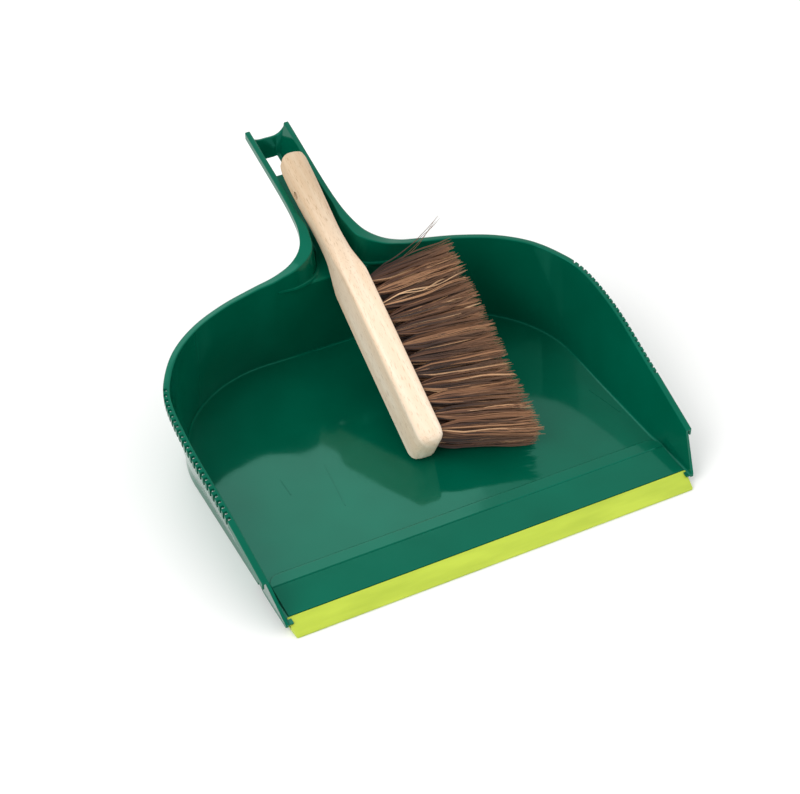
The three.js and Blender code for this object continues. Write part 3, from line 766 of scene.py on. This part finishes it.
GREEN, LIME, BEECH, FIBRE = green_polypropylene(), lime_rubber(), beech_wood(), coco_fibre()
print("finishes:", [m.name for m in (GREEN, LIME, BEECH, FIBRE)])

# %% [markdown]
# ## Cutting the pan
# The comb along the rim, the hanging slot and the step under the front of the skirt are cut, as the
# tool's inserts would leave them. A Boolean modifier with Blender's Manifold solver does it: fast,
# and the result stays one closed body. Each cutter is made, used and thrown away.

# %% Cut and join
COMB_START, COMB_END, COMB_PITCH = 80, 200, 5
COMB_NOTCH, COMB_REACH = 2.4, 3
GAP = 0.3           # mm between two pieces that touch
FAR = 200           # mm, past the pan on every side


def loose_object(name, body):
    points, faces = body
    mesh = bpy.data.meshes.new(name)
    mesh.from_pydata([tuple(float(v) for v in p) for p in points], [], faces)
    made = bpy.data.objects.new(name, mesh)
    bpy.context.scene.collection.objects.link(made)
    return made


def boolean(body, others, operation):
    """The body after the others are taken from it or added to it, as points and faces."""
    target = loose_object("target", body)
    tool = loose_object("tool", merge(others))
    step = target.modifiers.new("cut", "BOOLEAN")
    step.operation, step.solver, step.object = operation, "MANIFOLD", tool
    result = target.evaluated_get(bpy.context.evaluated_depsgraph_get()).to_mesh()
    points = [tuple(v.co) for v in result.vertices]
    faces = [tuple(p.vertices) for p in result.polygons]
    for used in (target, tool):
        bpy.data.objects.remove(used)
    if not faces:
        raise ValueError("the boolean left nothing: " + operation)
    return points, faces


def comb_notches():
    notches = []
    edge_line = np.array([s["outer"] for s in tray_stations])
    outs = np.array([s["out"] for s in tray_stations])
    for y in np.arange(COMB_START, COMB_END + 1, COMB_PITCH):
        edge = np.array([np.interp(y, edge_line[:, 1], edge_line[:, k]) for k in range(3)])
        out = np.array([np.interp(y, edge_line[:, 1], outs[:, k]) for k in range(3)])
        out /= np.linalg.norm(out)
        along = np.array([-out[1], out[0], 0])
        outline = [
            edge + out * COMB_REACH * i + along * COMB_NOTCH / 2 * j
            for i, j in ((-1, -1), (2, -1), (2, 1), (-1, 1))
        ]
        notches.append(prism([p[:2] for p in outline], edge[2] - 2 * LIP_DEPTH, edge[2] + 5))
    return notches


under_cheek = block(-FAR, FAR, -FAR, SKIRT_START, -WALL, FLOOR_TOP - WALL - GAP)
tray_side = boolean(tray_side, [under_cheek], "DIFFERENCE")
tray_side = boolean(tray_side, comb_notches(), "DIFFERENCE")
slot_low, slot_high = plate_top(SLOT[0]) - SLOT_CUTTER_REACH, plate_top(SLOT[1]) + SLOT_CUTTER_REACH
hanging_slot = prism(slot_outline(*SLOT), slot_low, slot_high)
plate = boolean(bottom_plate(), [hanging_slot], "DIFFERENCE")
handle_end = boolean(end_wall(), [hanging_slot], "DIFFERENCE")
print("faces in a combed side:", len(tray_side[1]))

# %% [markdown]
# All bodies of the pan are now one piece of plastic, so they go into one mesh.

# %% The pan
pan_bodies = [
    tray_side, mirrored(tray_side), channel_side, mirrored(channel_side),
    back_wall(), plate, handle_end, floor_slab(), ramp(), *ribs,
    *[floor_ridge(*ends) for ends in FLOOR_RIDGES],
]
pan = add_mesh("pan", *merge(pan_bodies), GREEN, "pan", "green_polypropylene")
steady = pan.modifiers.new("steady_normals", "WEIGHTED_NORMAL")
steady.keep_sharp = True
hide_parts("pan_moulding")
print("pan faces:", len(pan.data.polygons))

# %% [markdown]
# The soft lip is a wedge with a rounded nose. Its section is lofted from end to end, a little wider
# at the back than at the front, and both ends are drawn in to round them.

# %% The soft lip
STRIP_HALF_FRONT, STRIP_HALF_BACK, STRIP_BACK = 165, 166.4, 14


def soft_lip():
    section = rounded([
        ((0, 0, 0), 0.3),
        ((0, 5, 0), 0),
        ((0, STRIP_BACK, 1.2), 0.3),
        ((0, STRIP_BACK, TONGUE_FOOT - GAP), 0),
        ((0, TONGUE_TIP - GAP, TONGUE_FOOT - GAP), 0),
        ((0, TONGUE_TIP - GAP, TONGUE_TOP + GAP), 0),
        ((0, STRIP_BACK, TONGUE_ROOT_TOP + GAP), 0),
        ((0, STRIP_BACK, 8.8), 0.5),
        ((0, 0, 1.5), 0.6),
    ])
    rings = []
    for side, pull in ((-1, 0.0), (-1, 0.5), (-1, 3.0), (1, 3.0), (1, 0.5), (1, 0.0)):
        shrink = 1 - 0.05 * max(0.0, 1 - pull / 0.5)
        rings.append([
            (side * (mix(STRIP_HALF_FRONT, STRIP_HALF_BACK, y / STRIP_BACK) - pull),
             7 + (y - 7) * shrink, 3 + (z - 3) * shrink)
            for _, y, z in section
        ])
    return loft(rings, end_faces(rings[0]))


lip = add_mesh("soft_lip", *soft_lip(), LIME, "pan", "lime_soft_lip")
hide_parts("lip_strip")
print("lip faces:", len(lip.data.polygons))

# %% [markdown]
# ## The brush
# The stock is shaped on a copy lathe from one blank: a flat block for the bristles, shoulders that
# narrow to a waist, and an oval handle. A few sections are enough, because a smooth curve through
# them gives all those in between.

# %% The wooden stock
# y, half width, half thickness, corner radius and middle in x
STOCK = np.array([
    (0, 13, 5.5, 3, 0), (1.5, 16.2, 8, 4, 0), (5, 18.8, 10, 4.5, 0), (10, 19.8, 10.6, 4.5, 0),
    (94, 20, 10.7, 4.5, 0), (150, 19.6, 10.6, 4.5, 0), (158, 17.8, 10.3, 5, 0),
    (167, 15, 9.8, 6, 0), (178, 13, 9.1, 7.5, -0.1), (195, 12.2, 8.7, 7.8, -0.7),
    (225, 12.4, 9.6, 8, -1.6), (248, 12.4, 10.2, 8, -2.2), (263, 11.8, 10, 7, -2.4),
    (270, 10.4, 9, 6, -2.4), (272.8, 7.4, 6.4, 4.6, -2.4),
])
BLOCK_FACE = 9.5
HOLE_RADIUS, HOLE_DEPTH = 2.4, 11
HANG_HOLE_Y, HANG_HOLE_RADIUS = 238, 3.4
DOME_HEIGHT, DOME_TURNS = 1.2, (0.5, 0.95, 1.3)     # how far each end bulges, in steps of a turn
CUTTER_HALF = 30                                    # mm, past the stock on every side
TUFT_ROWS, TUFTS_PER_ROW = 4, 12
TUFT_FIRST, TUFT_PITCH, ROW_PITCH = 10, 12.2, 8.6


def stock_ring(y, half_width, half_thick, radius, middle, steps=8):
    ring = []
    for corner in range(4):
        side_x, side_z = (1 if corner in (0, 3) else -1), (1 if corner < 2 else -1)
        for i in range(steps + 1):
            a = math.pi / 2 * (corner + i / steps)
            ring.append((
                middle + side_x * (half_thick - radius) + radius * math.cos(a), y,
                side_z * (half_width - radius) + radius * math.sin(a),
            ))
    return ring


def smooth_profile(y):
    """The stock's values at y, by a curve that keeps each stretch between its two ends."""
    ys = STOCK[:, 0]
    i = min(max(int(np.searchsorted(ys, y, "right")) - 1, 0), len(ys) - 2)
    slopes = np.diff(STOCK[:, 1:], axis=0) / np.diff(ys)[:, None]

    def tangent(k):
        if k == 0 or k == len(ys) - 1:
            return slopes[min(k, len(slopes) - 1)]
        a, b = slopes[k - 1], slopes[k]
        return np.where(a * b > 0, 2 * a * b / np.where(a + b == 0, 1, a + b), 0)

    h = ys[i + 1] - ys[i]
    t = (y - ys[i]) / h
    p0, p1, m0, m1 = STOCK[i, 1:], STOCK[i + 1, 1:], tangent(i) * h, tangent(i + 1) * h
    return (
        (2 * t**3 - 3 * t**2 + 1) * p0 + (t**3 - 2 * t**2 + t) * m0
        + (3 * t**2 - 2 * t**3) * p1 + (t**3 - t**2) * m1
    )


def round_pin(radius, x0, x1, y, z, sides):
    circle = [(y + radius * math.cos(a), z + radius * math.sin(a))
              for a in np.linspace(0, 2 * math.pi, sides, endpoint=False)]
    return loft([[(x0, cy, cz) for cy, cz in circle], [(x1, cy, cz) for cy, cz in circle]])


def stock_body():
    nose, length, tip = np.arange(0, 10, 0.5), np.arange(10, 264, 3.0), np.arange(264, 272.8, 0.75)
    ys = sorted({*STOCK[:, 0], *nose, *length, *tip})
    rings = [stock_ring(y, *smooth_profile(y)) for y in ys]
    # both ends close in a low dome
    for at, direction in ((0, -1), (-1, 1)):
        base = np.array(rings[at])
        centre = base.mean(0)
        bulge = np.array([0, direction * DOME_HEIGHT, 0])
        domes = [
            [tuple(centre + (p - centre) * math.cos(k) + bulge * math.sin(k)) for p in base]
            for k in DOME_TURNS
        ]
        rings = domes[::-1] + rings if at == 0 else rings + domes
    body = loft(rings)
    beyond = [
        (BLOCK_FACE, -CUTTER_HALF), (CUTTER_HALF, -CUTTER_HALF),
        (CUTTER_HALF, CUTTER_HALF), (BLOCK_FACE, CUTTER_HALF),
    ]
    face = loft([[(x, y, z) for x, z in beyond] for y in (-6, 160)])
    holes = [
        round_pin(HOLE_RADIUS, BLOCK_FACE - HOLE_DEPTH, BLOCK_FACE + 5, y, z, 16)
        for y, z in tuft_places()
    ]
    hanging_hole = round_pin(HANG_HOLE_RADIUS, -CUTTER_HALF, CUTTER_HALF, HANG_HOLE_Y, 0, 32)
    body = boolean(body, [face], "DIFFERENCE")
    body = boolean(body, holes, "DIFFERENCE")
    return boolean(body, [hanging_hole], "DIFFERENCE")


def tuft_places():
    across = [(row - (TUFT_ROWS - 1) / 2) * ROW_PITCH for row in range(TUFT_ROWS)]
    return [(TUFT_FIRST + i * TUFT_PITCH, z) for z in across for i in range(TUFTS_PER_ROW)]


stock_points, stock_faces = stock_body()
stock = add_mesh("brush_stock_wood", from_brush(stock_points), stock_faces, BEECH, "brush", "beech")
store_own_place(stock, stock_points)
steady = stock.modifiers.new("steady_normals", "WEIGHTED_NORMAL")
steady.keep_sharp = True
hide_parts("brush_stock")
print("stock faces:", len(stock.data.polygons))

# %% [markdown]
# ## The bristles
# A tuft is a bunch of fibres folded in half and stapled into its hole, so it leaves the wood round
# and tight, then opens until it meets its neighbours. Hair curves could draw it, but real meshes
# survive an export. Each fibre is a thin three-sided tube that starts inside the hole, bends out to
# its own place in the brush's end face, wanders a little on the way and ends at its own length.
# Fibres cling together in strands, which gives the bristles their coarse, streaky look.

# %% Fibres
FIBRES_PER_TUFT = 150
FIBRES_PER_STRAND = 4       # fibres that cling together and share their way and colour
FIBRE_RADIUS = 0.28         # mm, coarse coco fibre
FIBRE_STEPS = 12
BRISTLE_LENGTH = 77
# a few fibres of the corner tuft have bent away towards the handle, by this many mm
STRAY_TUFT, STRAY_FIBRES, STRAY_BEND = (3, 11), 4, 24
LEAN_NOSE, LEAN_HEEL, LEAN_ROWS = math.radians(-17), math.radians(4), math.radians(2)
FLOOR_CLEARANCE = 0.8
ROOT_DEPTH = 4              # mm of a fibre inside its hole
OPEN_LENGTH, OPEN_SHAPE = 16, 0.8       # a tuft has opened fully this many mm from the wood
ROOT_FILL = 0.86            # share of its hole that a tuft fills
SHARE_Y, SHARE_Z = 0.56, 0.55           # share of the pitch that an open tuft takes to each side
LEAN_SCATTER = 0.012        # tangent of an angle
LENGTH_SCATTER, SHORT_SHARE = 0.1, 0.1
STRAND_BOW, TUFT_BOW, WAVE = 1.7, 0.5, 1.1      # mm
WAVE_TURN = 9               # radians of wave along a fibre
TAPER = ([0, 0.9, 1], [1, 0.85, 0.35])          # places along a fibre, and its thickness there
KIND_SHAPE, KIND_SCATTER = (0.8, 1.35), 0.06    # more dark fibres than pale ones
draw = np.random.default_rng(7)


def tray_floor_at(y):
    """The lowest z that the brush's own frame allows over the floor of the tray."""
    lowest = FLOOR_TOP + FLOOR_CLEARANCE - BRUSH_PLACE[2]
    return (lowest - y * math.sin(BRUSH_TILT)) / math.cos(BRUSH_TILT)


def tuft_fibres(row, column):
    """Centre lines (fibre, step, xyz) of one tuft, in the brush's own frame."""
    n = FIBRES_PER_TUFT
    strands = n // FIBRES_PER_STRAND
    strand = np.arange(n) % strands
    root_y = TUFT_FIRST + column * TUFT_PITCH
    root_z = (row - (TUFT_ROWS - 1) / 2) * ROW_PITCH
    along = column / (TUFTS_PER_ROW - 1)
    lean_y = math.tan(mix(LEAN_NOSE, LEAN_HEEL, along)) + draw.normal(0, LEAN_SCATTER)
    aside = (row - (TUFT_ROWS - 1) / 2) / ((TUFT_ROWS - 1) / 2)
    lean_z = math.tan(LEAN_ROWS) * aside + draw.normal(0, LEAN_SCATTER)
    angle = draw.uniform(0, 2 * math.pi, strands)[strand] + draw.normal(0, 0.09, n)
    share = np.sqrt(draw.uniform(0, 1, strands))[strand] * draw.uniform(0.93, 1.0, n)
    seat = np.stack([np.cos(angle), np.sin(angle)], 1) * share[:, None]
    length = BRISTLE_LENGTH * (1 - LENGTH_SCATTER * draw.beta(1.2, 2.4, n)) * draw.uniform(0.985, 1.0)
    short = draw.uniform(0, 1, n) < SHORT_SHARE
    length = np.where(short, length * draw.uniform(0.7, 0.95, n), length)
    t = np.linspace(0, 1, FIBRE_STEPS + 1)[None, :]
    height = -ROOT_DEPTH + t * (length[:, None] + ROOT_DEPTH)
    open_ = np.clip(height, 0, None)
    full = np.clip(open_ / OPEN_LENGTH, 0, 1) ** OPEN_SHAPE
    spread_y = (math.tan(LEAN_HEEL) - math.tan(LEAN_NOSE)) / (TUFTS_PER_ROW - 1)
    spread_z = 2 * math.tan(LEAN_ROWS) / (TUFT_ROWS - 1)
    half_y = mix(HOLE_RADIUS * ROOT_FILL, (TUFT_PITCH + open_ * spread_y) * SHARE_Y, full)
    half_z = mix(HOLE_RADIUS * ROOT_FILL, (ROW_PITCH + open_ * spread_z) * SHARE_Z, full)
    bow = draw.normal(0, STRAND_BOW, (strands, 2))[strand] + draw.normal(0, TUFT_BOW, 2)
    wave = draw.normal(0, WAVE, (strands, 2))[strand]
    phase = draw.uniform(0, 2 * math.pi, (strands, 1))[strand]
    swing = np.sin(phase + t * WAVE_TURN) * t
    y = root_y + open_ * lean_y + half_y * seat[:, :1] + bow[:, :1] * t * t + wave[:, :1] * swing
    z = root_z + open_ * lean_z + half_z * seat[:, 1:] + bow[:, 1:] * t * t + wave[:, 1:] * swing
    if (row, column) == STRAY_TUFT:
        y[:STRAY_FIBRES] += STRAY_BEND * t * t
    half = ROW_PITCH * TUFT_ROWS / 2 + open_ * math.tan(LEAN_ROWS) + 1
    lowest = tray_floor_at(y)
    squeezed = lowest + (half - lowest) * np.clip((z + half) / (2 * half), 0, 1)
    z = np.where(open_ > 0, np.maximum(z, squeezed), z)
    return np.stack([BLOCK_FACE + height, y, z], 2)


def fibre_tubes(lines):
    """Three-sided tubes round the lines, tapered at the tip: points, faces, reach along the fibre."""
    n, steps, _ = lines.shape
    direction = np.gradient(lines, axis=1)
    direction /= np.linalg.norm(direction, axis=2, keepdims=True)
    side = np.cross(direction, (0, 0, 1.0))
    side /= np.linalg.norm(side, axis=2, keepdims=True)
    up = np.cross(direction, side)
    reach = np.linspace(0, 1, steps)
    radius = FIBRE_RADIUS * np.interp(reach, *TAPER)
    thick = draw.uniform(0.7, 1.25, (n, 1, 1))
    corners = []
    for k in range(3):
        a = 2 * math.pi * k / 3
        corners.append(lines + (side * math.cos(a) + up * math.sin(a)) * radius[None, :, None] * thick)
    points = np.stack(corners, 2).reshape(-1, 3)
    start = np.arange(n)[:, None, None] * steps * 3
    step = np.arange(steps - 1)[None, :, None] * 3
    k = np.arange(3)[None, None, :]
    a = start + step + k
    b = start + step + (k + 1) % 3
    quads = np.stack([a, b, b + 3, a + 3], 3).reshape(-1, 4)
    first = start[:, 0, 0][:, None] + np.array([2, 1, 0])
    last = start[:, 0, 0][:, None] + (steps - 1) * 3 + np.array([0, 1, 2])
    faces = quads.tolist() + first.tolist() + last.tolist()
    return points, faces, np.repeat(np.tile(reach, n), 3)


def add_tuft(row, column):
    lines = tuft_fibres(row, column)
    points, faces, reach = fibre_tubes(lines)
    name = f"bristles_{row + 1}_{column + 1:02d}"
    piece = add_mesh(name, from_brush(points), faces, FIBRE, "brush", "brown_bristle")
    strands = len(lines) // FIBRES_PER_STRAND
    shared = draw.beta(*KIND_SHAPE, strands)[np.arange(len(lines)) % strands]
    kind = np.clip(shared + draw.normal(0, KIND_SCATTER, len(lines)), 0, 1)
    kinds = piece.data.attributes.new("fibre_kind", "FLOAT", "POINT")
    kinds.data.foreach_set("value", np.repeat(kind, lines.shape[1] * 3))
    reaches = piece.data.attributes.new("fibre_reach", "FLOAT", "POINT")
    reaches.data.foreach_set("value", reach)
    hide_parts(f"tuft_{row + 1}_{column + 1:02d}")
    return len(lines)


fibre_count = sum(add_tuft(row, column) for row in range(TUFT_ROWS) for column in range(TUFTS_PER_ROW))
print("fibres:", fibre_count)

# %% [markdown]
# ## Floor and light
# A pale sheet under the object and a bright, even sky all round it, as in a white studio tent. The
# glossy floor of the tray then mirrors the white in front and the dark back wall behind. One large
# soft lamp from the upper left gives the wood and the rim their shape.

# %% Studio
def studio():
    mesh = bpy.data.meshes.new("studio_floor")
    mesh.from_pydata([(-6, -6, 0), (6, -6, 0), (6, 6, 0), (-6, 6, 0)], [], [(0, 1, 2, 3)])
    sheet = bpy.data.objects.new("studio_floor", mesh)
    bpy.context.scene.collection.objects.link(sheet)
    paper, tree, shader = new_material("studio_paper", Roughness=0.9, Specular_IOR_Level=0.1)
    shader.inputs["Base Color"].default_value = colour("#F4F4F3")
    mesh.materials.append(paper)
    sheet.location.z = -0.0004
    world = bpy.data.worlds.new("tent")
    world.use_nodes = True
    world.node_tree.nodes["Background"].inputs["Color"].default_value = colour("#FFFFFF")
    world.node_tree.nodes["Background"].inputs["Strength"].default_value = 0.92
    bpy.context.scene.world = world
    for name, place, size, power in (
        ("key", (-1.9, -0.7, 1.7), 1.6, 30),
        ("fill", (1.8, -1.2, 1.6), 2.0, 7),
        ("back", (0.3, 1.9, 1.7), 1.6, 9),
    ):
        lamp = bpy.data.objects.new(name, bpy.data.lights.new(name, "AREA"))
        lamp.data.size, lamp.data.energy = size, power
        lamp.location = place
        lamp.rotation_euler = (-Vector(place)).to_track_quat("-Z", "Y").to_euler()
        bpy.context.scene.collection.objects.link(lamp)
    bpy.context.scene.view_settings.view_transform = "Standard"


studio()
